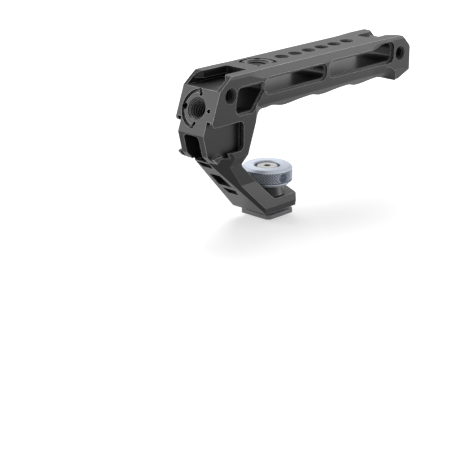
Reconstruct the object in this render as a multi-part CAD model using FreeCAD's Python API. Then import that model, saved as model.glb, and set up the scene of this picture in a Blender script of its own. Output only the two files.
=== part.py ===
"""Camera top handle: one machined frame, a thumb wheel, a shoe foot and its retaining screw.

Millimetres. The origin is the middle of the shoe foot's underside, on the thumb wheel's axis.
Z is up, X runs rearward along the grip, and the frame is the same on both sides of the plane y = 0,
apart from the locating groove beside each of the two large threaded holes.
"""
import math
import os

import FreeCAD
import Part

V = FreeCAD.Vector

# Cold shoes: the slot takes a foot 18.5 wide and 2 thick
SHOE_SLOT_WIDTH = 18.7
SHOE_SLOT_HEIGHT = 2.1
SHOE_WALL = 1.85
SHOE_OPENING = 12.8
SHOE_FLOOR_DEPTH = 5.5
TOP_SHOE_REAR_X = -20.5
SIDE_SHOE_OPENING = 13.6
SIDE_SHOE_REAR_X = -28.0
SIDE_SHOE_LIP = 1.3

# Widths of the frame, across Y
BODY_WIDTH = SHOE_SLOT_WIDTH + 2 * SHOE_WALL
TAIL_FLARE = 0.65
TAIL_WIDTH = BODY_WIDTH + 2 * TAIL_FLARE
SLAB_INSET = 0.6
WAIST_INSET = 2.5
BASE_FOOT_INSET = 0.8

# Heights of the frame
TOP_Z = 72.9
BASE_Z = 3.8
BASE_EDGE_Z = 6.9
BASE_TOP_Z = 10.2
BOSS_TOP_Z = 14.2
HEAD_LOW_Z = TOP_Z - 37.2
WAIST_HIGH_Z = HEAD_LOW_Z - 4.7
WAIST_LOW_Z = min(BASE_EDGE_Z + 13.9, WAIST_HIGH_Z - 1)
GRIP_CREST_Z = TOP_Z - 20.1
FINGER_DEPTH = 1.4
TAIL_LOW_Z = TOP_Z - 22.5
TAIL_CORNER_LOW_Z = TOP_Z - 18.0
TAIL_CORNER_HIGH_Z = TOP_Z - 6.0
CHIN_Z = TOP_Z - 34.7
NOSE_Z = TOP_Z - 24.9
FACE_TOP_Z = TOP_Z - SHOE_FLOOR_DEPTH
SIDE_SHOE_Z = TOP_Z - 27.8

# Lengths of the frame, along X
BASE_FRONT_X = -12.2
BASE_CORNER_X = 7.9
BASE_REAR_X = 12.7
CHIN_X = -47.8
NOSE_X = -50.3
FACE_TOP_X = -43.1
LIP_FRONT_X = -35.7
TAIL_REAR_X = 91.5
TAIL_TOP_X = 85.3
KNEE_X = -27.0
NECK_TOP_X = -18.4
STRUT_INNER_SUM = 3.5
STRUT_FILLET = 6.0
FINGER_FIRST_X = 2.5
FINGER_PITCH = 26.5
FINGER_COUNT = 3

# Round boss that the wheel stands on
BOSS_TOP_RADIUS = 7.2
BOSS_FOOT_RADIUS = 8.4

# Places just clear of the frame, where cuts that run through it begin and end
CLEAR_FRONT_X = NOSE_X - 20
CLEAR_REAR_X = TAIL_REAR_X + 10

# Slanted side of the grip slab
SLAB_EDGE_Z = TOP_Z - 4.4
SLAB_EDGE_HIGH_Z = TOP_Z - 1.6
SLAB_FRONT_X = -24.0
SLAB_FRONT_FULL_X = -15.5
SLAB_REAR_FULL_X = 62.0
SLAB_REAR_X = 73.0

# Lower side of the grip: two facets, ending in a round scoop at the tail
GRIP_SIDE_Z = TOP_Z - 13.8
GRIP_FACET_Z = TOP_Z - 16.8
GRIP_UNDER_Z = TOP_Z - 23.9
GRIP_FACET_INSET = 1.0
GRIP_UNDER_INSET = 6.3
GRIP_FACET_FRONT_X = -20.0
GRIP_FACET_FULL_X = -3.6
GRIP_SCOOP_X = 72.6
TAIL_BEVEL_X = 80.6
TAIL_BEVEL_FULL_X = 86.6
TAIL_BEVEL_DROP = 0.135

# Windows through the sides
WINDOW_STEP = 0.8
WINDOW_BORDER = 1.15
WINDOW_BEVEL = 0.35
WEB_FRONT_X = -13.3
WEB_MIDDLE_X = 27.8
WEB_MIDDLE_WIDTH = 3.2
WINDOW_REAR_X = 77.9
WINDOW_LOW_Z = TOP_Z - 11.3
WINDOW_HIGH_Z = TOP_Z - 5.3
WINDOW_CORNER = 2.6

# Threaded holes, cut at the thread's major size
LARGE_BORE = 9.525
SMALL_BORE = 6.35
LARGE_DEPTH = 9.5
TOP_LARGE_X = -6.8
TOP_SMALL_X = 9.4
TOP_SMALL_PITCH = 9.4
TOP_SMALL_COUNT = 6
TOP_SMALL_DEPTH = 8.0
SIDE_HOLE_DEPTH = 7.0
SIDE_HOLE_Z = TOP_Z - 8.6
SIDE_HOLE_FRONT_X = -36.3
SIDE_HOLE_REAR_X = 83.8
SMALL_SINK = 7.4
LARGE_SINK = 10.6
FACE_HOLE_Z = TOP_Z - 14.1

# Locating groove and pin holes round a large threaded hole
GROOVE_RADIUS = 8.0
GROOVE_WIDTH = 1.7
GROOVE_DEPTH = 1.2
PIN_HOLE_BIG = 3.4
PIN_HOLE_SMALL = 2.0
PIN_HOLE_RADIUS = 7.3
PIN_HOLE_DEPTH = 4.0
GROOVE_END_HOLE = 2.4
GROOVE_REACH = 86
TOP_GROOVE_TURN = 45

# Clamp: wheel, foot and screw
WHEEL_RADIUS = 11.8
WHEEL_LOW_Z = 15.0
WHEEL_TOP_Z = 23.3
WHEEL_TOP_CHAMFER = 1.1
WHEEL_LOW_CHAMFER = 1.3
KNURL_SINK = 0.3
KNURL_RIM = 0.25
WHEEL_HUB_RADIUS = 7.0
WHEEL_RECESS_RADIUS = 6.05
WHEEL_RECESS_Z = 20.0
TOMMY_RADIUS = 2.0
TOMMY_DEPTH = 5.0
TOMMY_COUNT = 4
TOMMY_ANGLE = -97.7
WHEEL_POCKET_RADIUS = 12.7
WHEEL_HEADROOM = 4.9
STUD_RADIUS = 4.0
STUD_CLEARANCE = 0.05
STUD_TOP_Z = 21.4
FOOT_LENGTH = 18.0
FOOT_WIDTH = 18.4
FOOT_THICKNESS = 2.0
FOOT_CORNER = 1.5
NECK_SIZE = 12.2
NECK_TOP_Z = 6.4
NECK_POCKET_Z = 7.4
NECK_CLEARANCE = 0.08
SCREW_HEAD_RADIUS = 4.85
SCREW_HEAD_HEIGHT = 1.4
SCREW_SHANK_RADIUS = 2.5
SCREW_SHANK_LENGTH = 7.0
SCREW_HEX = 3.0
SCREW_HEX_DEPTH = 2.2

# Pockets that lighten the front of the neck
POCKET_HALF_WIDTH = 4.7
FACE_POCKET_TOP_Z = NOSE_Z - 0.4
FACE_POCKET_LOW_Z = CHIN_Z - 4.0
FACE_POCKET_REAR_X = -37.0
UNDER_POCKET_DEPTH = 5.0

# Notch in the end of the tail: a shallow recess that opens into a deeper mouth
RECESS_FRONT_X = 69.5
RECESS_WIDTH = 10.4
RECESS_DEPTH = 1.5
NOTCH_FRONT_X = 80.6
NOTCH_WIDTH = 17.6
NOTCH_DEPTH = 3.9


def in_side(x, z):
    """Point on the plane y = 0."""
    return V(x, 0, z)


def rounding(before, corner, after, radius):
    """Start, middle and end of the arc that rounds a corner."""
    back = (before - corner).normalize()
    ahead = (after - corner).normalize()
    half = back.getAngle(ahead) / 2
    middle = (back + ahead).normalize()
    run = radius / math.tan(half)
    inner = corner + middle * (radius / math.sin(half) - radius)
    return corner + back * run, inner, corner + ahead * run


def path_edges(stops, closed):
    """Lines and arcs through stops, a list of (point, corner radius)."""
    edges = []
    count = len(stops)
    first = None
    last = None
    for index, (point, radius) in enumerate(stops):
        ends = not closed and index in (0, count - 1)
        if radius > 0 and not ends:
            before = stops[index - 1][0]
            after = stops[(index + 1) % count][0]
            start, inner, end = rounding(before, point, after, radius)
        else:
            start = inner = end = point
        if last is not None:
            edges.append(Part.makeLine(last, start))
        if radius > 0 and not ends:
            edges.append(Part.Arc(start, inner, end).toShape())
        if first is None:
            first = start
        last = end
    if closed:
        edges.append(Part.makeLine(last, first))
    return edges


def rounded_face(stops):
    """Flat face inside a closed path of (point, corner radius)."""
    return Part.Face(Part.Wire(path_edges(stops, True)))


def prism(points, run):
    """Solid swept along run from the polygon through points."""
    return Part.Face(Part.makePolygon(points + points[:1])).extrude(run)


def side_plate(stops, half_width):
    """Plate of the given side outline, from -half_width to +half_width in Y."""
    face = rounded_face([(in_side(x, z), radius) for x, z, radius in stops])
    face.translate(V(0, -half_width, 0))
    return face.extrude(V(0, 2 * half_width, 0))


def box(x0, x1, y0, y1, z0, z1):
    """Box between two corners."""
    return Part.makeBox(x1 - x0, y1 - y0, z1 - z0, V(x0, y0, z0))


def both_sides(shape):
    """A shape together with its mirror image in the plane y = 0."""
    return [shape, shape.mirror(V(0, 0, 0), V(0, 1, 0))]


def finger_points():
    """Points of the wavy underside of the grip, from the neck to the tail."""
    valley = GRIP_CREST_Z + FINGER_DEPTH
    points = [in_side(FINGER_FIRST_X - 13, valley - 0.1)]
    points.append(in_side(FINGER_FIRST_X - 7.5, valley))
    points.append(in_side(FINGER_FIRST_X - 3, GRIP_CREST_Z + 0.3))
    for index in range(FINGER_COUNT):
        crest = FINGER_FIRST_X + index * FINGER_PITCH
        points.append(in_side(crest, GRIP_CREST_Z))
        points.append(in_side(crest + 9.5, GRIP_CREST_Z + 0.7 * FINGER_DEPTH))
        if index < FINGER_COUNT - 1:
            points.append(in_side(crest + 15, valley))
            points.append(in_side(crest + 19, valley))
            points.append(in_side(crest + 23.5, GRIP_CREST_Z + 0.3))
    last = FINGER_FIRST_X + (FINGER_COUNT - 1) * FINGER_PITCH
    points.append(in_side(last + 14.5, valley - 0.1))
    points.append(in_side(last + 19.5, GRIP_CREST_Z))
    points.append(in_side(last + 24, GRIP_CREST_Z - 1.4))
    points.append(in_side(last + 29, TAIL_LOW_Z))
    return points


def frame_blank():
    """Side outline of the frame, swept to the tail's full width."""
    wave = finger_points()
    stops = [
        (wave[-1], 0),
        (in_side(wave[-1].x + 2.2, TAIL_LOW_Z + 0.1), 1.5),
        (in_side(TAIL_REAR_X, TAIL_CORNER_LOW_Z), 0),
        (in_side(TAIL_REAR_X, TAIL_CORNER_HIGH_Z), 3.0),
        (in_side(TAIL_TOP_X, TOP_Z), 3.0),
        (in_side(LIP_FRONT_X, TOP_Z), 0),
        (in_side(FACE_TOP_X, FACE_TOP_Z), 0),
        (in_side(NOSE_X, NOSE_Z), 1.0),
        (in_side(CHIN_X, CHIN_Z), 1.0),
        (in_side(BASE_FRONT_X, BASE_Z), 0),
        (in_side(BASE_REAR_X - 2.2, BASE_Z), 0),
        (in_side(BASE_REAR_X, BASE_EDGE_Z), 0),
        (in_side(BASE_REAR_X, BASE_TOP_Z), 0),
        (in_side(STRUT_INNER_SUM - BASE_TOP_Z, BASE_TOP_Z), STRUT_FILLET),
        (in_side(KNEE_X, STRUT_INNER_SUM - KNEE_X), 2.5),
        (in_side(NECK_TOP_X, wave[0].z), 4.5),
        (wave[0], 0),
    ]
    curve = Part.BSplineCurve()
    curve.interpolate(wave)
    outline = Part.Wire(path_edges(stops, False) + [curve.toShape()])
    face = Part.Face(outline)
    face.translate(V(0, -TAIL_WIDTH / 2, 0))
    return face.extrude(V(0, TAIL_WIDTH, 0))


def plan_limits():
    """Plan outline that brings the blank to the body's width and flares the tail."""
    body = BODY_WIDTH / 2
    tail = TAIL_WIDTH / 2
    near = [
        (CLEAR_FRONT_X, body),
        (SLAB_REAR_FULL_X + 3, body),
        (SLAB_REAR_X + 1, tail),
        (CLEAR_REAR_X, tail),
    ]
    points = [V(x, -y, 0) for x, y in near] + [V(x, y, 0) for x, y in reversed(near)]
    return prism(points, V(0, 0, TOP_Z + 10))


def neck_side_cut():
    """What narrows the neck to its waist above the base, on the near side."""
    body = BODY_WIDTH / 2
    waist = body - WAIST_INSET
    outline = [
        (body, BASE_EDGE_Z),
        (waist, WAIST_LOW_Z),
        (waist, WAIST_HIGH_Z),
        (body, HEAD_LOW_Z),
        (body + 3, HEAD_LOW_Z),
        (body + 3, BASE_EDGE_Z),
    ]
    points = [V(CLEAR_FRONT_X, -y, z) for y, z in outline]
    return prism(points, V(CLEAR_REAR_X - CLEAR_FRONT_X, 0, 0))


def base_side_cut():
    """Steep bevel round the foot of the base, on the near side."""
    body = BODY_WIDTH / 2
    lean = BASE_FOOT_INSET / (BASE_EDGE_Z - BASE_Z)
    outline = [
        (body, BASE_EDGE_Z),
        (body - BASE_FOOT_INSET - lean, BASE_Z - 1),
        (body + 3, BASE_Z - 1),
        (body + 3, BASE_EDGE_Z),
    ]
    points = [V(CLEAR_FRONT_X, -y, z) for y, z in outline]
    return prism(points, V(CLEAR_REAR_X - CLEAR_FRONT_X, 0, 0))


def strut_bevel():
    """Broad bevel along the lower near edge of the strut, from the base to the head."""
    upper_base = V(BASE_FRONT_X - 0.9, -BODY_WIDTH / 2, BASE_EDGE_Z)
    lower_base = V(BASE_FRONT_X, BASE_FOOT_INSET - BODY_WIDTH / 2, BASE_Z)
    lower_waist = lower_base + V(-19.1, 4.0, 17.9)
    across = (lower_base - upper_base).cross(lower_waist - upper_base).normalize()
    if across.y > 0:
        across = across * -1
    along = (lower_waist - lower_base).normalize()
    wide = across.cross(along).normalize()
    start = upper_base - along * 4
    corners = [
        start - wide * 20,
        start + wide * 20,
        start + wide * 20 + along * 46,
        start - wide * 20 + along * 46,
    ]
    return prism(corners, across * 14)


def base_corner_cut():
    """Slanted rear end of the base, near side: the two sides meet near a point."""
    body = BODY_WIDTH / 2
    lean = (BASE_REAR_X + 0.6 - BASE_CORNER_X) / body
    points = [
        V(BASE_CORNER_X - lean, -body - 1, 0),
        V(BASE_REAR_X + 0.6, 0, 0),
        V(BASE_REAR_X + 3, 0, 0),
        V(BASE_REAR_X + 3, -body - 1, 0),
    ]
    return prism(points, V(0, 0, BOSS_TOP_Z))


def wheel_boss():
    """Raised round boss on the base that carries the wheel."""
    height = BOSS_TOP_Z - BASE_Z - 1
    lean = (BOSS_FOOT_RADIUS - BOSS_TOP_RADIUS) / (BOSS_TOP_Z - BASE_TOP_Z)
    foot = BOSS_TOP_RADIUS + lean * (BOSS_TOP_Z - BASE_TOP_Z)
    cone = Part.makeCone(foot, BOSS_TOP_RADIUS, BOSS_TOP_Z - BASE_TOP_Z, V(0, 0, BASE_TOP_Z))
    root = Part.makeCylinder(foot, height - (BOSS_TOP_Z - BASE_TOP_Z), V(0, 0, BASE_Z + 1))
    return root.fuse(cone)


def slab_side_cut():
    """Slanted side of the grip slab, fading out at the head and the tail, near side."""
    body = BODY_WIDTH / 2
    tail = TAIL_WIDTH / 2
    slab = body - SLAB_INSET
    over = TOP_Z + 0.5

    def section(x, low_z, low_y, high_y):
        slope = (high_y - low_y) / (TOP_Z - low_z)
        points = [V(x, -low_y, low_z), V(x, -(high_y + slope * 0.5), over), V(x, -(low_y + 3), over)]
        points.append(V(x, -(low_y + 3), low_z))
        return Part.makePolygon(points + points[:1])

    sections = [
        section(CLEAR_FRONT_X, SLAB_EDGE_HIGH_Z, body, body - 0.15),
        section(SLAB_FRONT_X, SLAB_EDGE_HIGH_Z, body, body - 0.15),
        section(SLAB_FRONT_FULL_X, SLAB_EDGE_Z, body, slab),
        section(SLAB_REAR_FULL_X, SLAB_EDGE_Z, body, slab),
        section(SLAB_REAR_X, SLAB_EDGE_HIGH_Z, tail, tail - 0.2),
        section(CLEAR_REAR_X, SLAB_EDGE_HIGH_Z, tail, tail - 0.2),
    ]
    return Part.makeLoft(sections, True, True)


def faded(shape, side, start_x, full_x, depth):
    """A near side cut that begins at start_x and only reaches its full depth at full_x."""
    lean = (full_x - start_x) / depth
    points = [
        V(CLEAR_FRONT_X, -(side + 5), 0),
        V(start_x - 5 * lean, -(side + 5), 0),
        V(full_x, depth - side, 0),
        V(full_x, 0, 0),
        V(CLEAR_FRONT_X, 0, 0),
    ]
    return shape.cut(prism(points, V(0, 0, TOP_Z)))


def grip_facets():
    """The two facets under each side of the grip, faded into the neck and scooped out at the tail."""
    body = BODY_WIDTH / 2
    outline = [
        (body + 0.02, GRIP_SIDE_Z),
        (body - GRIP_FACET_INSET, GRIP_FACET_Z),
        (body - GRIP_UNDER_INSET, GRIP_UNDER_Z),
        (body + 3, GRIP_UNDER_Z),
        (body + 3, GRIP_SIDE_Z),
    ]
    flare_x = SLAB_REAR_FULL_X + 3
    spread = TAIL_FLARE * (GRIP_SCOOP_X - flare_x) / (SLAB_REAR_X + 1 - flare_x)
    front = [V(GRIP_FACET_FRONT_X - 3, -y, z) for y, z in outline]
    bend = [V(flare_x, -y, z) for y, z in outline]
    end = [V(GRIP_SCOOP_X, -(y + spread), z) for y, z in outline]
    shape = prism(front, bend[0] - front[0]).fuse(prism(bend, end[0] - bend[0]))
    face = Part.Face(Part.makePolygon(end + end[:1]))
    scoop = face.revolve(V(GRIP_SCOOP_X, 0, GRIP_UNDER_Z), V(0, 1, 0), 90)
    return faded(shape.fuse(scoop), body, GRIP_FACET_FRONT_X, GRIP_FACET_FULL_X, GRIP_UNDER_INSET)


def tail_under_bevel():
    """Bevel under the near side of the tail block."""
    tail = TAIL_WIDTH / 2
    depth = 4.4
    outline = [
        (tail + 0.6, TAIL_CORNER_LOW_Z + 3.2),
        (tail - depth, TAIL_LOW_Z - 1.2),
        (tail + 0.6, TAIL_LOW_Z - 1.2),
    ]
    points = [V(TAIL_BEVEL_X - 2, -y, z) for y, z in outline]
    run = CLEAR_REAR_X - TAIL_BEVEL_X
    shape = prism(points, V(run, 0, -run * TAIL_BEVEL_DROP))
    return faded(shape, tail, TAIL_BEVEL_X, TAIL_BEVEL_FULL_X, depth)


def window_outlines():
    """Side outlines of the three windows: (x, z, corner radius)."""
    low = WINDOW_LOW_Z
    high = WINDOW_HIGH_Z
    rear_web = WEB_MIDDLE_X + WEB_MIDDLE_WIDTH
    r = WINDOW_CORNER
    front = [
        (WEB_FRONT_X - 17.3, FACE_TOP_Z - 1.1, 2.0),
        (WEB_FRONT_X - 2.1, FACE_TOP_Z - 1.1, 1.2),
        (WEB_FRONT_X - 2.1, low + 2.0, 1.8),
        (WEB_FRONT_X - 9.1, low - 6.2, 2.4),
        (WEB_FRONT_X - 19.3, low - 6.2, 2.4),
    ]
    middle = [
        (WEB_FRONT_X, low, r),
        (WEB_MIDDLE_X, low, r),
        (WEB_MIDDLE_X, high, r),
        (WEB_FRONT_X, high, r),
    ]
    rear = [
        (rear_web, low, r),
        (WINDOW_REAR_X, low, r),
        (WINDOW_REAR_X, high + 2.6, 3.0),
        (SLAB_REAR_FULL_X + 9, high + 2.6, 2.0),
        (SLAB_REAR_FULL_X + 2, high + 0.3, 3.0),
        (rear_web, high + 0.3, r),
    ]
    return [front, middle, rear]


def grown(outline, margin):
    """The same outline moved outward by margin; its corners keep their middles where they can."""
    count = len(outline)
    points = [in_side(x, z) for x, z, radius in outline]
    middle = sum(points, V()) * (1 / count)
    around = (points[0] - middle).cross(points[1] - middle)
    moved = []
    for index, point in enumerate(points):
        back = (points[index - 1] - point).normalize()
        ahead = (points[(index + 1) % count] - point).normalize()
        lean = (back + ahead).normalize()
        reach = margin / math.sin(back.getAngle(ahead) / 2)
        turn = (points[index - 1] - point).cross(points[(index + 1) % count] - point)
        if turn.dot(around) > 0:
            reach = -reach
            radius = max(outline[index][2] - margin, 0.3)
        else:
            radius = outline[index][2] + margin
        corner = point - lean * reach
        moved.append((corner.x, corner.z, radius))
    return moved


def outline_wire(outline, y):
    """Closed wire of a side outline at a given y."""
    return Part.Wire(path_edges([(V(x, y, z), radius) for x, z, radius in outline], True))


def edge_bevel(outline, y):
    """Cut that bevels the outer edge of an opening whose wall starts at y, on the far side."""
    over = 0.2
    wide = grown(outline, WINDOW_BEVEL + over)
    wires = [outline_wire(wide, y + over), outline_wire(outline, y - WINDOW_BEVEL)]
    return Part.makeLoft(wires, True, True)


def windows():
    """Cuts for the three windows: each a through hole with a shallow stepped border, edges bevelled."""
    side = BODY_WIDTH / 2
    cuts = []
    for outline in window_outlines():
        cuts.append(side_plate(outline, TAIL_WIDTH))
        border = grown(outline, WINDOW_BORDER)
        step = Part.Face(outline_wire(border, side - WINDOW_STEP)).extrude(V(0, TAIL_WIDTH, 0))
        cuts += both_sides(step)
        cuts += both_sides(edge_bevel(outline, side - WINDOW_STEP))
    return cuts


def top_shoe():
    """Cuts for the cold shoe on top of the head: the slot and the opening between its lips."""
    half_slot = SHOE_SLOT_WIDTH / 2
    half_gap = SHOE_OPENING / 2
    slot = box(
        CLEAR_FRONT_X,
        TOP_SHOE_REAR_X - 0.6,
        -half_slot,
        half_slot,
        FACE_TOP_Z,
        FACE_TOP_Z + SHOE_SLOT_HEIGHT,
    )
    lead = half_slot - half_gap
    near = [
        (CLEAR_FRONT_X, half_slot, 0),
        (LIP_FRONT_X - lead + 0.8, half_slot, 0),
        (LIP_FRONT_X + 0.8, half_gap, 0.8),
        (TOP_SHOE_REAR_X, half_gap, 1.2),
    ]
    stops = [(V(x, -y, FACE_TOP_Z), radius) for x, y, radius in near]
    stops += [(V(x, y, FACE_TOP_Z), radius) for x, y, radius in reversed(near)]
    gap = rounded_face(stops).extrude(V(0, 0, TOP_Z))
    return [slot, gap]


def side_shoe():
    """Cuts for the cold shoe in the near side of the neck."""
    outer = BODY_WIDTH / 2
    half_slot = SHOE_SLOT_WIDTH / 2
    half_gap = SIDE_SHOE_OPENING / 2
    back = outer - SIDE_SHOE_LIP - SHOE_SLOT_HEIGHT
    slot_stops = [
        (CLEAR_FRONT_X, SIDE_SHOE_Z - half_slot, 0),
        (SIDE_SHOE_REAR_X + 0.4, SIDE_SHOE_Z - half_slot, 3.0),
        (SIDE_SHOE_REAR_X + 0.4, SIDE_SHOE_Z + half_slot, 3.0),
        (CLEAR_FRONT_X, SIDE_SHOE_Z + half_slot, 0),
    ]
    gap_stops = [
        (CLEAR_FRONT_X, SIDE_SHOE_Z - half_gap - 8, 0),
        (CHIN_X, SIDE_SHOE_Z - half_gap - 8, 0),
        (CHIN_X, SIDE_SHOE_Z - half_gap, 2.6),
        (SIDE_SHOE_REAR_X, SIDE_SHOE_Z - half_gap, 2.6),
        (SIDE_SHOE_REAR_X, SIDE_SHOE_Z + half_gap, 2.6),
        (CHIN_X - 0.2, SIDE_SHOE_Z + half_gap, 2.2),
        (CHIN_X - 0.8, SIDE_SHOE_Z + half_gap + 8, 0),
        (CLEAR_FRONT_X, SIDE_SHOE_Z + half_gap + 8, 0),
    ]
    slot = rounded_face([(in_side(x, z), radius) for x, z, radius in slot_stops])
    slot = slot.extrude(V(0, -SHOE_SLOT_HEIGHT, 0))
    slot.translate(V(0, -back, 0))
    gap = rounded_face([(in_side(x, z), radius) for x, z, radius in gap_stops])
    gap = gap.extrude(V(0, -TAIL_WIDTH, 0))
    gap.translate(V(0, -back, 0))
    return [slot, gap]


def face_direction():
    """Outward normal of the slanted front face."""
    up = (in_side(FACE_TOP_X, FACE_TOP_Z) - in_side(NOSE_X, NOSE_Z)).normalize()
    return V(-up.z, 0, up.x)


def face_point(z):
    """Point of the front face at a height, on the plane y = 0."""
    share = (z - NOSE_Z) / (FACE_TOP_Z - NOSE_Z)
    return in_side(NOSE_X + share * (FACE_TOP_X - NOSE_X), z)


def sunk_hole(mouth, inward, radius, sink_radius, depth):
    """Hole with a short countersink at its mouth."""
    sink = sink_radius - radius
    start = mouth - inward
    bore = Part.makeCylinder(radius, depth + 1, start, inward)
    cone = Part.makeCone(sink_radius, radius, sink, mouth, inward)
    lead = Part.makeCylinder(sink_radius, 1, start, inward)
    return [bore, cone, lead]


def locating_groove(mouth, inward, middle):
    """Half ring groove round a hole, with holes at its ends and middle and a pin hole across from it."""
    side = inward.cross(middle)
    reach = math.radians(GROOVE_REACH)

    def spot(radius, angle):
        return mouth + middle * (radius * math.cos(angle)) + side * (radius * math.sin(angle))

    def ring(radius):
        return Part.makeCylinder(radius, GROOVE_DEPTH + 1, mouth - inward, inward)

    def hole(radius, angle, bore, depth):
        return Part.makeCylinder(bore / 2, depth + 1, spot(radius, angle) - inward, inward)

    band = ring(GROOVE_RADIUS + GROOVE_WIDTH / 2).cut(ring(GROOVE_RADIUS - GROOVE_WIDTH / 2))
    deep = inward * (GROOVE_DEPTH + 2)
    corners = [spot(0.01, math.pi), spot(30, -reach), spot(40, 0), spot(30, reach)]
    cuts = [band.common(prism([corner + deep for corner in corners], deep * -2))]
    for angle in (-reach, reach):
        cuts.append(hole(GROOVE_RADIUS, angle, GROOVE_END_HOLE, PIN_HOLE_DEPTH))
        cuts.append(hole(GROOVE_RADIUS - 1.3, angle * 1.1, GROOVE_END_HOLE - 0.4, PIN_HOLE_DEPTH))
    cuts.append(hole(PIN_HOLE_RADIUS, 0, PIN_HOLE_BIG, PIN_HOLE_DEPTH))
    cuts.append(hole(PIN_HOLE_RADIUS, math.pi, PIN_HOLE_SMALL, PIN_HOLE_DEPTH))
    return cuts


def threaded_holes():
    """Cuts for every threaded hole of the frame."""
    down = V(0, 0, -1)
    inward = face_direction() * -1
    top = in_side(TOP_LARGE_X, TOP_Z)
    cuts = sunk_hole(top, down, LARGE_BORE / 2, LARGE_SINK / 2, LARGE_DEPTH)
    turn = math.radians(TOP_GROOVE_TURN)
    cuts += locating_groove(top, down, V(math.sin(turn), math.cos(turn), 0))
    front = face_point(FACE_HOLE_Z)
    cuts += sunk_hole(front, inward, LARGE_BORE / 2, LARGE_SINK / 2, LARGE_DEPTH)
    cuts += locating_groove(front, inward, V(0, 1, 0))
    for index in range(TOP_SMALL_COUNT):
        mouth = in_side(TOP_SMALL_X + index * TOP_SMALL_PITCH, TOP_Z)
        cuts += sunk_hole(mouth, down, SMALL_BORE / 2, SMALL_SINK / 2, TOP_SMALL_DEPTH)
    for x, width in ((SIDE_HOLE_FRONT_X, BODY_WIDTH), (SIDE_HOLE_REAR_X, TAIL_WIDTH)):
        mouth = V(x, -width / 2, SIDE_HOLE_Z)
        for cut in sunk_hole(mouth, V(0, 1, 0), SMALL_BORE / 2, SMALL_SINK / 2, SIDE_HOLE_DEPTH):
            cuts += both_sides(cut)
    return cuts


def neck_pockets():
    """Pockets in the front and the slanted underside of the neck."""
    chin = in_side(CHIN_X, CHIN_Z)
    foot = in_side(BASE_FRONT_X, BASE_Z)
    along = (foot - chin).normalize()
    inward = V(-along.z, 0, along.x)
    half = POCKET_HALF_WIDTH
    face = rounded_face([
        (V(CLEAR_FRONT_X, -half, FACE_POCKET_LOW_Z), 0),
        (V(CLEAR_FRONT_X, half, FACE_POCKET_LOW_Z), 0),
        (V(CLEAR_FRONT_X, half, FACE_POCKET_TOP_Z), 2.2),
        (V(CLEAR_FRONT_X, -half, FACE_POCKET_TOP_Z), 2.2),
    ])
    cuts = [face.extrude(V(FACE_POCKET_REAR_X - CLEAR_FRONT_X, 0, 0))]
    length = (foot - chin).Length
    for start, end, near, far in ((6.8, 11.6, 4.4, 3.2), (17.2, 27.6, 3.6, 4.4), (30.0, 35.0, 4.2, 3.2)):
        share = length / 49.5
        p = chin + along * (start * share)
        q = chin + along * (end * share)
        side = V(0, 1, 0)
        stops = [
            (p - side * near, 0.8),
            (p + side * near, 0.8),
            (q + side * far, 0.8),
            (q - side * far, 0.8),
        ]
        pocket = rounded_face(stops)
        pocket.translate(inward * -1.0)
        cuts.append(pocket.extrude(inward * (UNDER_POCKET_DEPTH + 1)))
    return cuts


def tail_notch():
    """Cuts for the end of the tail: the shallow recess and its deeper mouth, open to the rear."""
    half = RECESS_WIDTH / 2
    wide = NOTCH_WIDTH / 2
    floor = TOP_Z - RECESS_DEPTH
    recess = rounded_face([
        (V(RECESS_FRONT_X, -half, floor), 2.5),
        (V(CLEAR_REAR_X, -half, floor), 0),
        (V(CLEAR_REAR_X, half, floor), 0),
        (V(RECESS_FRONT_X, half, floor), 2.5),
    ])
    near = [
        (NOTCH_FRONT_X, half),
        (NOTCH_FRONT_X + wide - half, wide),
        (CLEAR_REAR_X, wide),
    ]
    points = [V(x, -y, TOP_Z - NOTCH_DEPTH) for x, y in near]
    points += [V(x, y, TOP_Z - NOTCH_DEPTH) for x, y in reversed(near)]
    return [recess.extrude(V(0, 0, TOP_Z)), prism(points, V(0, 0, TOP_Z))]


def clamp_bores():
    """Room in the base for the foot's neck, its stud and the wheel."""
    half = NECK_SIZE / 2 + NECK_CLEARANCE
    pocket = box(-half, half, -half, half, BASE_Z - 1, NECK_POCKET_Z)
    bore = Part.makeCylinder(STUD_RADIUS + STUD_CLEARANCE, BOSS_TOP_Z + 1, V(0, 0, 0))
    height = WHEEL_TOP_Z - BOSS_TOP_Z + WHEEL_HEADROOM
    room = Part.makeCylinder(WHEEL_POCKET_RADIUS, height, V(0, 0, BOSS_TOP_Z))
    return [pocket, bore, room]


def handle_frame():
    """The machined frame: head, grip, tail, neck and base in one piece."""
    shape = frame_blank().common(plan_limits()).fuse(wheel_boss())
    cuts = []
    shapers = (neck_side_cut, base_side_cut, strut_bevel, base_corner_cut)
    for build in shapers + (grip_facets, tail_under_bevel):
        cuts += both_sides(build())
    for cut in side_shoe():
        cuts += both_sides(cut)
    cuts += clamp_bores() + windows() + top_shoe() + threaded_holes() + neck_pockets() + tail_notch()
    cuts += both_sides(slab_side_cut())
    for cut in cuts:
        shape = shape.cut(cut)
    return shape.removeSplitter()


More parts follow.
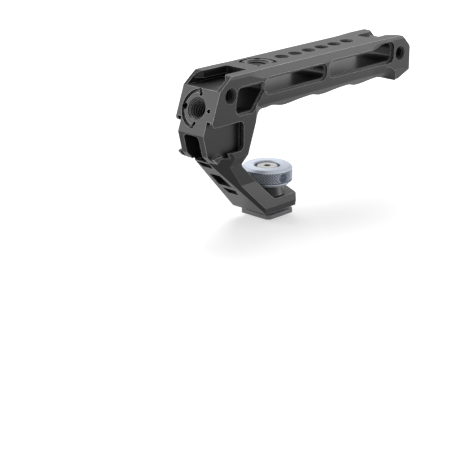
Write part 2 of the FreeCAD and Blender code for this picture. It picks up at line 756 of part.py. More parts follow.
def thumb_wheel():
    """Round wheel with bevelled rims, a sunk band for the knurling, a hub, a recess and tommy holes."""
    band = WHEEL_RADIUS - KNURL_SINK
    band_low_z = WHEEL_LOW_Z + WHEEL_LOW_CHAMFER + KNURL_RIM
    band_high_z = WHEEL_TOP_Z - WHEEL_TOP_CHAMFER - KNURL_RIM
    outline = [
        V(STUD_RADIUS + STUD_CLEARANCE, 0, BOSS_TOP_Z),
        V(WHEEL_HUB_RADIUS, 0, BOSS_TOP_Z),
        V(WHEEL_HUB_RADIUS, 0, WHEEL_LOW_Z),
        V(WHEEL_RADIUS - WHEEL_LOW_CHAMFER, 0, WHEEL_LOW_Z),
        V(WHEEL_RADIUS, 0, WHEEL_LOW_Z + WHEEL_LOW_CHAMFER),
        V(WHEEL_RADIUS, 0, band_low_z),
        V(band, 0, band_low_z),
        V(band, 0, band_high_z),
        V(WHEEL_RADIUS, 0, band_high_z),
        V(WHEEL_RADIUS, 0, WHEEL_TOP_Z - WHEEL_TOP_CHAMFER),
        V(WHEEL_RADIUS - WHEEL_TOP_CHAMFER, 0, WHEEL_TOP_Z),
        V(WHEEL_RECESS_RADIUS + 0.5, 0, WHEEL_TOP_Z),
        V(WHEEL_RECESS_RADIUS, 0, WHEEL_TOP_Z - 0.5),
        V(WHEEL_RECESS_RADIUS, 0, WHEEL_RECESS_Z),
        V(STUD_RADIUS + STUD_CLEARANCE, 0, WHEEL_RECESS_Z),
    ]
    face = Part.Face(Part.makePolygon(outline + outline[:1]))
    wheel = face.revolve(V(0, 0, 0), V(0, 0, 1), 360)
    middle = (WHEEL_LOW_Z + WHEEL_TOP_Z + WHEEL_LOW_CHAMFER - WHEEL_TOP_CHAMFER) / 2
    for index in range(TOMMY_COUNT):
        angle = math.radians(TOMMY_ANGLE + index * 360 / TOMMY_COUNT)
        outward = V(math.cos(angle), math.sin(angle), 0)
        start = V(0, 0, middle) + outward * (WHEEL_RADIUS - TOMMY_DEPTH)
        wheel = wheel.cut(Part.makeCylinder(TOMMY_RADIUS, TOMMY_DEPTH + 2, start, outward))
    return wheel


def shoe_foot():
    """Foot plate, square neck and stud in one piece, bored for the retaining screw."""
    plate = box(-FOOT_LENGTH / 2, FOOT_LENGTH / 2, -FOOT_WIDTH / 2, FOOT_WIDTH / 2, 0, FOOT_THICKNESS)
    upright = [e for e in plate.Edges if abs(e.Vertexes[0].Z - e.Vertexes[-1].Z) > 1]
    plate = plate.makeChamfer(FOOT_CORNER, upright)
    half = NECK_SIZE / 2
    neck = box(-half, half, -half, half, FOOT_THICKNESS - 0.5, NECK_TOP_Z)
    stud = Part.makeCylinder(STUD_RADIUS, STUD_TOP_Z - 1, V(0, 0, 1))
    shape = plate.fuse(neck).fuse(stud)
    bottom = V(0, 0, STUD_TOP_Z - SCREW_SHANK_LENGTH - 0.5)
    bore = Part.makeCylinder(SCREW_SHANK_RADIUS, SCREW_SHANK_LENGTH + 1.5, bottom)
    return shape.cut(bore).removeSplitter()


def retaining_screw():
    """Flat screw with a hexagon socket that keeps the wheel on the stud."""
    head = Part.makeCylinder(SCREW_HEAD_RADIUS, SCREW_HEAD_HEIGHT, V(0, 0, STUD_TOP_Z))
    tip = V(0, 0, STUD_TOP_Z - SCREW_SHANK_LENGTH)
    shank = Part.makeCylinder(SCREW_SHANK_RADIUS, SCREW_SHANK_LENGTH, tip)
    top = STUD_TOP_Z + SCREW_HEAD_HEIGHT
    corner = SCREW_HEX / math.sqrt(3)
    floor = top - SCREW_HEX_DEPTH
    turns = [math.radians(60 * index) for index in range(6)]
    points = [V(corner * math.cos(turn), corner * math.sin(turn), floor) for turn in turns]
    rim = [e for e in head.Edges if e.Vertexes[0].Z > top - 0.01 and e.Vertexes[-1].Z > top - 0.01]
    head = head.makeChamfer(0.3, rim)
    return head.fuse(shank).cut(prism(points, V(0, 0, SCREW_HEX_DEPTH + 1))).removeSplitter()


def main():
    """Build every piece and write it to the parts folder."""
    os.makedirs("parts", exist_ok=True)
    pieces = {
        "handle_frame": handle_frame(),
        "thumb_wheel": thumb_wheel(),
        "shoe_foot": shoe_foot(),
        "retaining_screw": retaining_screw(),
    }
    for name, shape in pieces.items():
        solid = shape.Solids[0]
        if len(shape.Solids) != 1 or not solid.isValid():
            print(name, "solids", len(shape.Solids), "valid", solid.isValid())
        solid.exportStep("parts/" + name + ".step")
        print(name, round(solid.Volume), solid.BoundBox)


main()
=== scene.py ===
"""Looks of the camera top handle: finishes, screw threads, knurling, studio and camera.

Everything is in metres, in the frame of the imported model: the origin is the middle of the foot's
underside, Z is up and X runs rearward along the grip. The frame, the wheel, the foot and the screw keep
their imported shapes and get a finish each. The screw threads and the knurling are modelled here.
"""
import logging
import math
from dataclasses import dataclass
from enum import Enum

import bpy
from mathutils import Matrix, Vector


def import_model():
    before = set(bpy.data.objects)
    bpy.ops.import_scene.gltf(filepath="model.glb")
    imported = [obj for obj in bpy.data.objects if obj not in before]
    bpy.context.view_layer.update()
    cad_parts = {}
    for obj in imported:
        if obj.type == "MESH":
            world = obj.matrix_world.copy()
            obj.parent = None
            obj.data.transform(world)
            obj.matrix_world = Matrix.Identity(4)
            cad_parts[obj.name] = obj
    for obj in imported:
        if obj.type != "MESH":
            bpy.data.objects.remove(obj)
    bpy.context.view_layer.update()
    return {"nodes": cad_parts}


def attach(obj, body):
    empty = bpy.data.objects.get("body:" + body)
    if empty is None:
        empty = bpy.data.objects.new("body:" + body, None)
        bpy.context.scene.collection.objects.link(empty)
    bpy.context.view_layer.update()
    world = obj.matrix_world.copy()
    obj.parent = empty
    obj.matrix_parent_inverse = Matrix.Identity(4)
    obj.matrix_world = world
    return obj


LOG = logging.getLogger("top_handle")
MM = 0.001
IMAGE_SIZE = 450
RAY_KINDS = ("Camera", "Glossy", "Transmission")
BLACK = (0.0, 0.0, 0.0, 1.0)
WHITE = (1.0, 1.0, 1.0, 1.0)
FACET_TURN = 0.012
# How dark the painted shade in the knurl's grooves is, as a share of the finish's colour.
GROOVE_SHADE_DARK = 0.12
THREAD_DEPTH = 0.5413


class Body(Enum):
    """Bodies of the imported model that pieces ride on."""

    HANDLE = "handle"
    WHEEL = "wheel"
    FOOT = "foot"


class Socket:
    """A shader socket that can be used in arithmetic."""

    def __init__(self, maker: "NodeMaker", output: bpy.types.NodeSocket) -> None:
        """Wraps an output.

        Args:
            maker: the node maker that adds the Math nodes.
            output: the node output to wrap.
        """
        self.maker = maker
        self.output = output

    def math(self, operation: str, *others: "Socket | float") -> "Socket":
        """Adds a Math node that starts from this socket.

        Args:
            operation: the Math node's operation.
            others: the further operands.

        Returns:
            The result's socket.
        """
        return self.maker.math(operation, self, *others)

    def __add__(self, other: "Socket | float") -> "Socket":
        """Sum."""
        return self.math("ADD", other)

    def __radd__(self, other: float) -> "Socket":
        """Sum, number first."""
        return self.math("ADD", other)

    def __sub__(self, other: "Socket | float") -> "Socket":
        """Difference."""
        return self.math("SUBTRACT", other)

    def __rsub__(self, other: float) -> "Socket":
        """Difference, number first."""
        return self.maker.math("SUBTRACT", other, self)

    def __mul__(self, other: "Socket | float") -> "Socket":
        """Product."""
        return self.math("MULTIPLY", other)

    def __rmul__(self, other: float) -> "Socket":
        """Product, number first."""
        return self.math("MULTIPLY", other)

    def clamped(self) -> "Socket":
        """The value kept between 0 and 1."""
        return self.maker.make(
            "ShaderNodeClamp", {}, {"Value": self}, "Result"
        )


class NodeMaker:
    """Adds nodes to one node tree and joins them."""

    def __init__(self, tree: bpy.types.NodeTree) -> None:
        """Keeps the tree that the nodes go to."""
        self.tree = tree

    def join(self, target: bpy.types.NodeSocket, value: "Socket | float | tuple") -> None:
        """Links a socket or sets a plain value."""
        if isinstance(value, Socket):
            self.tree.links.new(value.output, target)
        else:
            target.default_value = value

    def make(self, kind: str, settings: dict, inputs: dict, output: "str | int" = 0) -> Socket:
        """Adds any node.

        Args:
            kind: the node's type.
            settings: its settings, set first. A list of (place, colour) sets a ramp's stops.
            inputs: values or sockets by input name or number.
            output: the output to return.

        Returns:
            The chosen output's socket, or nothing for a node that ends the tree.
        """
        node = self.tree.nodes.new(kind)
        for key, value in settings.items():
            if key == "stops":
                ramp = node.color_ramp
                while len(ramp.elements) < len(value):
                    ramp.elements.new(0.5)
                for element, (place, colour) in zip(ramp.elements, value):
                    element.position = place
                    element.color = colour
            else:
                setattr(node, key, value)
        for key, value in inputs.items():
            self.join(node.inputs[key], value)
        return Socket(self, node.outputs[output]) if node.outputs else None

    def math(self, operation: str, *operands: "Socket | float") -> Socket:
        """Adds a Math node.

        Args:
            operation: the node's operation.
            operands: its inputs in order.

        Returns:
            The result's socket.
        """
        return self.make("ShaderNodeMath", {"operation": operation}, dict(enumerate(operands)))

    def blend(self, share: "Socket | float", first: "Socket | tuple", second: "Socket | tuple") -> Socket:
        """Mixes two colours.

        Args:
            share: 0 for the first colour, 1 for the second.
            first: colour or socket.
            second: colour or socket.

        Returns:
            The mixed colour's socket.
        """
        settings = {"data_type": "RGBA"}
        return self.make("ShaderNodeMix", settings, {0: share, 6: first, 7: second}, 2)

    def vector(self, operation: str, operands: dict, output: str) -> Socket:
        """Adds a Vector Math node.

        Args:
            operation: the node's operation.
            operands: its inputs by number.
            output: the output to return.

        Returns:
            The chosen output's socket.
        """
        return self.make("ShaderNodeVectorMath", {"operation": operation}, operands, output)

    def background_rays(self) -> Socket:
        """1 for rays that see the background directly, in a mirror or through glass."""
        seen = [self.make("ShaderNodeLightPath", {}, {}, f"Is {kind} Ray") for kind in RAY_KINDS]
        return (seen[0] + seen[1] + seen[2]).clamped()


class SurfaceMaker(NodeMaker):
    """Makes one material round a Principled shader."""

    def __init__(self, name: str) -> None:
        """Starts the material.

        Args:
            name: the material's name.
        """
        self.material = bpy.data.materials.new(name)
        self.material.use_nodes = True
        super().__init__(self.material.node_tree)
        self.shader = self.tree.nodes["Principled BSDF"]
        self.place = self.make("ShaderNodeTexCoord", {}, {}, "Object")

    def noise(self, scale: float, detail: float = 2.0) -> Socket:
        """Noise on the object's own coordinates.

        Args:
            scale: waves per metre.
            detail: the number of finer layers.

        Returns:
            The noise value's socket.
        """
        inputs = {"Vector": self.place, "Scale": scale, "Detail": detail}
        return self.make("ShaderNodeTexNoise", {}, inputs, "Fac")

    def edge_mask(self, width: float, steepness: float) -> Socket:
        """Mask of the sharp edges of a piece.

        Args:
            width: how far the mask reaches from an edge.
            steepness: how fast it rises. Turns of a few degrees, as between facets, stay out.

        Returns:
            0 on flat places, up to 1 on sharp edges.
        """
        bevel = self.make("ShaderNodeBevel", {"samples": 8}, {"Radius": width}, "Normal")
        normal = self.make("ShaderNodeNewGeometry", {}, {}, "Normal")
        facing = self.vector("DOT_PRODUCT", {0: bevel, 1: normal}, "Value")
        return ((1 - facing - FACET_TURN) * steepness).clamped()

    def radial(self, low: float, high: float) -> Socket:
        """Share of the way from one radius about the wheel's axis to another.

        Args:
            low: radius where the share is 0.
            high: radius where it is 1.

        Returns:
            The share's socket.
        """
        flat = self.vector("MULTIPLY", {0: self.place, 1: (1, 1, 0)}, "Vector")
        radius = self.vector("LENGTH", {0: flat}, "Value")
        return ((radius - low) * (1 / (high - low))).clamped()


@dataclass(frozen=True)
class MetalFinish:
    """A metal surface finish.

    Attributes:
        name: the material's name.
        colour: its linear colour.
        painted_edge_highlight: the lighter colour painted on its sharp edges, a painted highlight
            standing in for light caught by small bevels.
        metallic: how metallic it is.
        roughness: its gloss.
        grain: strength of the fine grain.
        grain_scale: grains per metre.
        grain_height: height of the grains.
        cloud: how much the colour drifts over the piece.
        cloud_scale: drifts per metre.
        gloss_spread: how much the grain changes the roughness.
        edge_gloss: how much smoother the sharp edges are.
        edge_width: width of the painted edge highlight and of the smoother edges.
        edge_steepness: how sharply the painted edge highlight begins.
        specular: strength of the gloss of its non-metallic part.
        painted_groove_shade: radii between which it runs from a painted shade in the knurl's grooves to
            its own colour, or None.
    """

    name: str
    colour: tuple
    painted_edge_highlight: tuple
    metallic: float
    roughness: float
    grain: float = 0.1
    grain_scale: float = 4000.0
    grain_height: float = 0.02 * MM
    cloud: float = 0.14
    cloud_scale: float = 60.0
    gloss_spread: float = 0.06
    edge_gloss: float = 0.08
    edge_width: float = 0.25 * MM
    edge_steepness: float = 3.2
    specular: float = 0.5
    painted_groove_shade: "tuple | None" = None

    def tint(self, strength: float) -> tuple:
        """The colour made darker or lighter."""
        return tuple(strength * c for c in self.colour[:3]) + (1.0,)

    def build(self) -> bpy.types.Material:
        """Makes the material.

        Returns:
            The finished material.
        """
        maker = SurfaceMaker(self.name)
        grain = maker.noise(self.grain_scale)
        cloud = maker.noise(self.cloud_scale, 3.0)
        edge = maker.edge_mask(self.edge_width, self.edge_steepness)
        body = maker.blend(cloud, self.tint(1 - self.cloud), self.tint(1 + self.cloud))
        if self.painted_groove_shade:
            # Painted shade: the grooves between the knurl's points are darkened by radius, the crests
            # keep the finish's colour.
            body = maker.blend(maker.radial(*self.painted_groove_shade), self.tint(GROOVE_SHADE_DARK), body)
        smoothest = self.roughness - self.gloss_spread
        gloss = smoothest + grain * (2 * self.gloss_spread) - edge * self.edge_gloss
        bump_inputs = {"Strength": self.grain, "Distance": self.grain_height, "Height": grain}
        inputs = maker.shader.inputs
        # Painted highlight: the sharp edges get the lighter edge colour, standing in for light caught by
        # small bevels.
        maker.join(inputs["Base Color"], maker.blend(edge, body, self.painted_edge_highlight))
        maker.join(inputs["Roughness"], gloss)
        maker.join(inputs["Metallic"], self.metallic)
        maker.join(inputs["Specular IOR Level"], self.specular)
        maker.join(inputs["Normal"], maker.make("ShaderNodeBump", {}, bump_inputs, "Normal"))
        return maker.material


# The edge colours below are painted highlights along sharp edges, standing in for light caught by small
# bevels.
BLACK_ANODISED = MetalFinish(
    name="black_anodised",
    colour=(0.014, 0.014, 0.015, 1.0),
    painted_edge_highlight=(0.42, 0.42, 0.43, 1.0),
    metallic=0.0,
    roughness=0.36,
    grain=0.2,
    edge_width=0.30 * MM,
    edge_steepness=18.0,
    specular=0.27,
)
# A darker copy of the black anodised finish for the small holes' threads: painted shade that makes these
# holes read dark, with only a faint painted edge highlight.
SHADED_THREAD = MetalFinish(
    name="thread_painted_shade",
    colour=(0.008, 0.008, 0.009, 1.0),
    painted_edge_highlight=(0.05, 0.05, 0.05, 1.0),
    metallic=0.0,
    roughness=0.34,
    grain=0.05,
    edge_width=0.12 * MM,
    specular=0.2,
)
BLUE_GREY_ANODISED = MetalFinish(
    name="blue_grey_anodised",
    colour=(0.54, 0.585, 0.67, 1.0),
    painted_edge_highlight=(0.70, 0.74, 0.82, 1.0),
    metallic=0.7,
    roughness=0.42,
)
KNURLED_BLUE_GREY = MetalFinish(
    name="blue_grey_knurled",
    colour=(0.46, 0.50, 0.58, 1.0),
    painted_edge_highlight=(0.46, 0.50, 0.58, 1.0),
    metallic=0.6,
    roughness=0.40,
    edge_width=0.02 * MM,
    # Radii of the painted shade, from the knurl's grooves out to its crests.
    painted_groove_shade=(11.54 * MM, 11.78 * MM),
)
DARK_STEEL = MetalFinish(
    name="dark_steel",
    colour=(0.12, 0.12, 0.125, 1.0),
    painted_edge_highlight=(0.25, 0.25, 0.26, 1.0),
    metallic=0.9,
    roughness=0.35,
)
BRIGHT_STEEL = MetalFinish(
    name="bright_steel",
    colour=(0.48, 0.48, 0.47, 1.0),
    painted_edge_highlight=(0.75, 0.75, 0.74, 1.0),
    metallic=0.95,
    roughness=0.25,
)


def clear_selection() -> None:
    """Leaves nothing selected, in object mode."""
    if bpy.context.object and bpy.context.object.mode != "OBJECT":
        bpy.ops.object.mode_set(mode="OBJECT")
    bpy.ops.object.select_all(action="DESELECT")


def settle(piece: bpy.types.Object, name: str, material: bpy.types.Material) -> bpy.types.Object:
    """Puts a piece's place into its mesh and gives it its name and finish.

    Args:
        piece: the object to finish.
        name: its name.
        material: its finish.

    Returns:
        The same object.
    """
    clear_selection()
    piece.select_set(True)
    bpy.context.view_layer.objects.active = piece
    bpy.ops.object.transform_apply(location=True, rotation=True, scale=True)
    piece.name = name
    piece.data.name = name
    piece.data.materials.clear()
    piece.data.materials.append(material)
    clear_selection()
    return piece


def apply_modifiers(piece: bpy.types.Object) -> None:
    """Applies every modifier of a piece, in order."""
    bpy.context.view_layer.objects.active = piece
    for modifier in list(piece.modifiers):
        bpy.ops.object.modifier_apply(modifier=modifier.name)


def cut_away(piece: bpy.types.Object, cutter: bpy.types.Object) -> None:
    """Cuts one object out of a piece and removes the cutter."""
    cut = piece.modifiers.new("cut", "BOOLEAN")
    cut.operation = "DIFFERENCE"
    cut.solver = "EXACT"
    cut.object = cutter
    apply_modifiers(piece)
    bpy.data.objects.remove(cutter)


class ThreadKind(Enum):
    """Screw threads by major radius and pitch, in millimetres."""

    LARGE = (4.7625, 1.5875)
    SMALL = (3.175, 1.27)


@dataclass
class ThreadedHole:
    """The ridges of a screw thread in one hole.

    Attributes:
        name: the piece's name.
        kind: the thread.
        mouth: middle of the hole's mouth, in millimetres.
        outward: direction out of the hole.
        sink_radius: radius of the countersink at the mouth.
        start: depth at which the ridges end, below the mouth.
        sides: segments in a turn.
        sunk: how far the ridge's foot lies inside the wall.
        reach: how far the countersink's cutter stands out of the mouth.
    """

    name: str
    kind: ThreadKind
    mouth: tuple
    outward: tuple
    sink_radius: float
    start: float
    sides: int = 40
    sunk: float = 0.08
    reach: float = 0.4

    def ridge(self) -> bpy.types.Object:
        """Models the ridge along the hole's axis, with the mouth at the origin.

        Returns:
            The ridge's object.
        """
        major, pitch = self.kind.value
        crest = major - THREAD_DEPTH * pitch
        clear_selection()
        bpy.ops.mesh.primitive_plane_add(size=1)
        piece = bpy.context.object
        half_root = pitch * 7 / 16
        half_crest = pitch / 8
        corners = [
            (major + self.sunk, half_root + self.sunk / 2),
            (crest, half_crest),
            (crest, -half_crest),
            (major + self.sunk, -half_root - self.sunk / 2),
        ]
        order = sorted(piece.data.vertices, key=lambda v: math.atan2(v.co.y, v.co.x))
        start_z = -self.start - pitch
        for vertex, (radius, height) in zip(order, corners[::-1]):
            vertex.co = Vector((radius, 0, start_z + height)) * MM
        bpy.ops.object.mode_set(mode="EDIT")
        bpy.ops.mesh.select_all(action="SELECT")
        bpy.ops.mesh.delete(type="ONLY_FACE")
        bpy.ops.object.mode_set(mode="OBJECT")
        screw = piece.modifiers.new("helix", "SCREW")
        screw.angle = 2 * math.pi
        screw.screw_offset = pitch * MM
        screw.iterations = math.ceil((self.start + 2 * pitch) / pitch) + 1
        screw.steps = self.sides
        screw.render_steps = self.sides
        screw.use_merge_vertices = False
        screw.use_normal_calculate = False
        apply_modifiers(piece)
        bpy.ops.object.mode_set(mode="EDIT")
        bpy.ops.mesh.select_all(action="SELECT")
        bpy.ops.mesh.remove_doubles(threshold=0.001 * MM)
        self.cut_flat(-self.start, False)
        self.cut_flat(0, True)
        bpy.ops.mesh.select_all(action="SELECT")
        bpy.ops.mesh.normals_make_consistent(inside=False)
        bpy.ops.object.mode_set(mode="OBJECT")
        return piece

    def cut_flat(self, height: float, above: bool) -> None:
        """Cuts the ridge off at a height and closes the cut."""
        bpy.ops.mesh.select_all(action="SELECT")
        bpy.ops.mesh.bisect(
            plane_co=(0, 0, height * MM),
            plane_no=(0, 0, 1),
            use_fill=True,
            clear_outer=above,
            clear_inner=not above,
        )

    def countersink(self, piece: bpy.types.Object) -> None:
        """Cuts the countersink's cone out of the ridges."""
        size = self.sink_radius + self.reach
        clear_selection()
        bpy.ops.mesh.primitive_cone_add(
            vertices=64,
            radius1=0.0,
            radius2=size * MM,
            depth=size * MM,
            location=(0, 0, (self.reach - size / 2) * MM),
        )
        cut_away(piece, bpy.context.object)

    def build(self, material: bpy.types.Material) -> bpy.types.Object:
        """Models the thread, puts it in its hole and makes it ride on the frame.

        Args:
            material: its finish.

        Returns:
            The finished piece.
        """
        piece = self.ridge()
        self.countersink(piece)
        outward = Vector(self.outward).normalized()
        turn = Vector((0, 0, 1)).rotation_difference(outward)
        piece.matrix_world = Matrix.Translation(Vector(self.mouth) * MM) @ turn.to_matrix().to_4x4()
        settle(piece, self.name, material)
        piece.data.shade_flat()
        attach(piece, Body.HANDLE.value)
        return piece


@dataclass
class Frame:
    """The machined frame: its finish and the threads in its holes.

    Attributes:
        top_z: height of the grip's top.
        top_large_x: place of the large hole in the top.
        top_small_x: place of the first small hole in the top.
        top_small_pitch: step between the small holes.
        top_large_depth: depth of the large hole's thread.
        top_small_depths: depth of each small hole's thread.
        side_z: height of the holes in the sides.
        side_front_x: place of the front side holes.
        side_rear_x: place of the rear side holes.
        side_depth: depth of their threads.
        body_half: half the width at the front side holes.
        tail_half: half the width at the rear side holes.
        face_foot: lower end of the slanted front face, along X and Z.
        face_run: how far that face leans back and rises.
        face_hole_z: height of the hole in it.
        face_depth: depth of its thread.
        large_sink: radius of the large holes' countersinks.
        small_sink: radius of the small holes' countersinks.
    """

    top_z: float = 72.9
    top_large_x: float = -6.8
    top_small_x: float = 9.4
    top_small_pitch: float = 9.4
    top_large_depth: float = 5.25
    top_small_depths: tuple = (5.25, 5.25, 7.6, 4.95, 4.95, 4.95)
    side_z: float = 64.3
    side_front_x: float = -36.3
    side_rear_x: float = 83.8
    side_depth: float = 6.6
    body_half: float = 11.2
    tail_half: float = 11.85
    face_foot: tuple = (-50.3, 48.0)
    face_run: tuple = (7.2, 19.4)
    face_hole_z: float = 58.8
    face_depth: float = 9.0
    large_sink: float = 5.3
    small_sink: float = 3.7

    def threads(self) -> list:
        """Lists the threaded holes.

        Returns:
            A ThreadedHole for each.
        """
        large = (ThreadKind.LARGE, self.large_sink)
        small = (ThreadKind.SMALL, self.small_sink)
        up = (0, 0, 1)
        lean, rise = self.face_run
        face_x = self.face_foot[0] + (self.face_hole_z - self.face_foot[1]) / rise * lean
        face_mouth = (face_x, 0, self.face_hole_z)
        top_mouth = (self.top_large_x, 0, self.top_z)
        places = [
            ("thread_front_large", large, face_mouth, (-rise, 0, lean), self.face_depth),
            ("thread_top_large", large, top_mouth, up, self.top_large_depth),
        ]
        for index, depth in enumerate(self.top_small_depths):
            mouth = (self.top_small_x + index * self.top_small_pitch, 0, self.top_z)
            places.append((f"thread_top_small_{index + 1}", small, mouth, up, depth))
        ends = (("front", self.side_front_x, self.body_half), ("rear", self.side_rear_x, self.tail_half))
        for label, x, half in ends:
            for side, sign in (("near", -1), ("far", 1)):
                mouth = (x, sign * half, self.side_z)
                places.append((f"thread_{side}_{label}", small, mouth, (0, sign, 0), self.side_depth))
        return [
            ThreadedHole(name, kind, mouth, outward, sink, depth)
            for name, (kind, sink), mouth, outward, depth in places
        ]

    def build(self, nodes: dict) -> None:
        """Dresses the frame and builds its threads.

        Args:
            nodes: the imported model's nodes by name.
        """
        black = BLACK_ANODISED.build()
        # The small holes' threads take the darker copy of the finish, painted shade in those holes.
        finishes = {ThreadKind.LARGE: black, ThreadKind.SMALL: SHADED_THREAD.build()}
        dress(nodes["handle_frame"], black)
        for hole in self.threads():
            piece = hole.build(finishes[hole.kind])
            LOG.info("%s: %d faces", piece.name, len(piece.data.polygons))


@dataclass
class Knurling:
    """The ring of small pyramids round the wheel's rim.

    Attributes:
        crest: outer radius of the points, in millimetres.
        valley: radius of the grooves.
        inner: radius of the hidden inner wall.
        low: lower end.
        high: upper end.
        teeth: points round the rim.
        rows: rows of half cells.
        tommy_radius: radius of the four holes through it.
        tommy_angle: angle of the first hole, in degrees.
        tommy_z: height of the holes.
        tommy_reach: length of the cutter that makes two of them.
    """

    crest: float = 11.8
    valley: float = 11.52
    inner: float = 11.3
    low: float = 16.55
    high: float = 21.95
    teeth: int = 52
    rows: int = 8
    tommy_radius: float = 2.0
    tommy_angle: float = -97.7
    tommy_z: float = 19.25
    tommy_reach: float = 30.0

    def ring(self) -> bpy.types.Object:
        """Models the ring as a stack of extruded circles with every second corner pulled out.

        Returns:
            The ring's object.
        """
        step = (self.high - self.low) / self.rows
        clear_selection()
        bpy.ops.mesh.primitive_circle_add(
            vertices=2 * self.teeth, radius=self.valley * MM, location=(0, 0, 0), fill_type="NOTHING"
        )
        piece = bpy.context.object
        for vertex in piece.data.vertices:
            vertex.co.z = self.low * MM
        bpy.ops.object.mode_set(mode="EDIT")
        bpy.ops.mesh.select_all(action="SELECT")
        for _ in range(self.rows):
            bpy.ops.mesh.extrude_region_move(TRANSFORM_OT_translate={"value": (0, 0, step * MM)})
        bpy.ops.object.mode_set(mode="OBJECT")
        cell = math.pi / self.teeth
        for vertex in piece.data.vertices:
            column = round(math.atan2(vertex.co.y, vertex.co.x) / cell)
            row = round((vertex.co.z / MM - self.low) / step)
            if (column + row) % 2 == 0 and 0 < row < self.rows:
                vertex.co.x *= self.crest / self.valley
                vertex.co.y *= self.crest / self.valley
        bpy.ops.object.mode_set(mode="EDIT")
        bpy.ops.mesh.select_all(action="SELECT")
        bpy.ops.mesh.quads_convert_to_tris(quad_method="SHORTEST_DIAGONAL")
        bpy.ops.mesh.normals_make_consistent(inside=False)
        bpy.ops.mesh.select_all(action="DESELECT")
        bpy.ops.object.mode_set(mode="OBJECT")
        return piece

    def build(self, material: bpy.types.Material) -> bpy.types.Object:
        """Models the knurled ring with its holes and makes it ride on the wheel.

        Args:
            material: its finish.

        Returns:
            The finished piece.
        """
        piece = self.ring()
        wall = piece.modifiers.new("wall", "SOLIDIFY")
        wall.thickness = (self.valley - self.inner) * MM
        wall.offset = -1
        apply_modifiers(piece)
        for index in range(2):
            angle = math.radians(self.tommy_angle + 90 * index)
            clear_selection()
            bpy.ops.mesh.primitive_cylinder_add(
                vertices=40,
                radius=self.tommy_radius * MM,
                depth=self.tommy_reach * MM,
                location=(0, 0, self.tommy_z * MM),
                rotation=(math.pi / 2, 0, angle + math.pi / 2),
            )
            cut_away(piece, bpy.context.object)
        settle(piece, "wheel_knurling", material)
        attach(piece, Body.WHEEL.value)
        return piece


@dataclass
class Clamp:
    """The clamp: wheel with its knurling, foot and retaining screw."""

    knurling: Knurling

    def build(self, nodes: dict) -> None:
        """Dresses the clamp's nodes and builds the knurling.

        Args:
            nodes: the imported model's nodes by name.
        """
        wheel = BLUE_GREY_ANODISED.build()
        dress(nodes["thumb_wheel"], wheel)
        dress(nodes["shoe_foot"], DARK_STEEL.build())
        dress(nodes["retaining_screw"], BRIGHT_STEEL.build())
        ring = self.knurling.build(KNURLED_BLUE_GREY.build())
        LOG.info("%s: %d faces", ring.name, len(ring.data.polygons))


def dress(node: bpy.types.Object, material: bpy.types.Material) -> None:
    """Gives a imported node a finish, through its object's material slots."""
    for slot in node.material_slots:
        slot.link = "OBJECT"
        slot.material = material


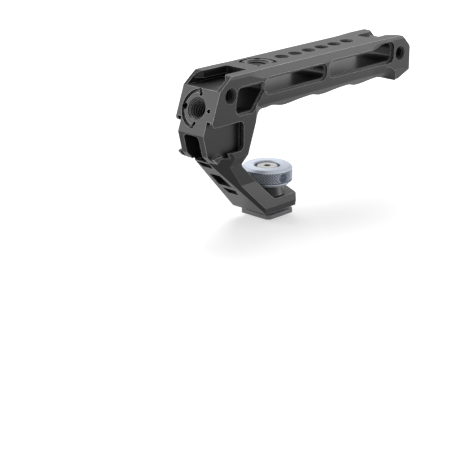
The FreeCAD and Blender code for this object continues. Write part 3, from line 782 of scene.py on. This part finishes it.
@dataclass
class Studio:
    """Plain floor, soft lamps and a white background.

    Attributes:
        floor_size: the floor's side.
        floor_z: its height, just under the foot.
        floor_colour: its grey, which takes the shadow.
        floor_glow: how much of its white shows without any lamp, near the handle.
        glow_rise: how much more of it shows per metre further out.
        world_light: strength of the even light from all round.
        aim: the point that the lamps face.
    """

    floor_size: float = 6.0
    floor_z: float = -0.002
    floor_colour: float = 0.5
    floor_glow: float = 0.55
    glow_rise: float = 1.6
    world_light: float = 0.5
    aim: tuple = (0.02, 0.0, 0.05)

    def floor(self) -> bpy.types.Object:
        """Makes the pale floor that shows white to the camera.

        Returns:
            The floor's object.
        """
        clear_selection()
        bpy.ops.mesh.primitive_plane_add(size=self.floor_size, location=(0, 0, self.floor_z))
        floor = bpy.context.object
        maker = SurfaceMaker("pale_floor")
        inputs = maker.shader.inputs
        maker.join(inputs["Base Color"], (self.floor_colour,) * 3 + (1.0,))
        maker.join(inputs["Roughness"], 0.9)
        maker.join(inputs["Specular IOR Level"], 0.0)
        maker.join(inputs["Emission Strength"], 1.0)
        reach = maker.vector("LENGTH", {0: maker.place}, "Value")
        glow = (reach * self.glow_rise + self.floor_glow).clamped() * maker.background_rays()
        maker.join(inputs["Emission Color"], maker.blend(glow, BLACK, WHITE))
        settle(floor, "floor", maker.material)
        return floor

    def world(self) -> None:
        """Sets an even world light, with a white background where it is seen."""
        world = bpy.data.worlds.new("studio")
        bpy.context.scene.world = world
        world.use_nodes = True
        world.node_tree.nodes.clear()
        maker = NodeMaker(world.node_tree)
        even = maker.make("ShaderNodeBackground", {}, {"Strength": self.world_light})
        white = maker.make("ShaderNodeBackground", {}, {"Color": WHITE, "Strength": 1.0})
        mixed = maker.make("ShaderNodeMixShader", {}, {0: maker.background_rays(), 1: even, 2: white})
        maker.make("ShaderNodeOutputWorld", {}, {"Surface": mixed})

    def lamp(self, name: str, place: tuple, width: float, height: float, power: float) -> None:
        """Adds a soft lamp that points at the handle.

        Args:
            name: the lamp's name.
            place: where it hangs.
            width: its width.
            height: its height.
            power: its power in watts.
        """
        data = bpy.data.lights.new(name, "AREA")
        data.shape = "RECTANGLE"
        data.size = width
        data.size_y = height
        data.energy = power
        lamp = bpy.data.objects.new(name, data)
        bpy.context.collection.objects.link(lamp)
        turn = (Vector(self.aim) - Vector(place)).to_track_quat("-Z", "Y")
        lamp.matrix_world = Matrix.Translation(place) @ turn.to_matrix().to_4x4()

    def build(self) -> None:
        """Makes the studio."""
        self.floor()
        self.world()
        self.lamp("top_lamp", (0.35, 0.45, 1.1), 0.8, 0.8, 9.5)
        self.lamp("front_lamp", (-0.88, 0.78, 0.34), 0.7, 0.7, 8.5)
        self.lamp("side_lamp", (0.80, -0.86, 0.12), 0.7, 0.22, 5.0)


@dataclass
class PhotoCamera:
    """The camera at the photograph's view, fitted to the photograph.

    Attributes:
        place: where it stands.
        azimuth: its turn about Z, in degrees.
        elevation: how far it looks down, in degrees.
        roll: its roll, in degrees.
        focal_pixels: focal length in pixels of the image.
        sensor: the sensor's width, in millimetres.
    """

    place: tuple = (-0.482659, -0.433928, 0.218750)
    azimuth: float = -46.3
    elevation: float = 19.16
    roll: float = 0.13
    focal_pixels: float = 1452.65
    sensor: float = 36.0

    def build(self) -> None:
        """Makes the camera and sets it as the scene's."""
        data = bpy.data.cameras.new("photo_camera")
        data.sensor_width = self.sensor
        data.lens = self.focal_pixels / IMAGE_SIZE * self.sensor
        data.clip_start = 0.01
        camera = bpy.data.objects.new("photo_camera", data)
        bpy.context.collection.objects.link(camera)
        azimuth = Matrix.Rotation(math.radians(self.azimuth), 4, "Z")
        tilt = Matrix.Rotation(math.radians(90 - self.elevation), 4, "X")
        roll = Matrix.Rotation(math.radians(-self.roll), 4, "Z")
        camera.matrix_world = Matrix.Translation(self.place) @ azimuth @ tilt @ roll
        bpy.context.scene.camera = camera


def main() -> None:
    """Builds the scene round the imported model."""
    logging.basicConfig(level=logging.INFO, format="%(message)s")
    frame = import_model()
    view = bpy.context.scene.view_settings
    view.view_transform = "Standard"
    PhotoCamera().build()
    Frame().build(frame["nodes"])
    Clamp(Knurling()).build(frame["nodes"])
    Studio().build()


if __name__ == "__main__":
    main()
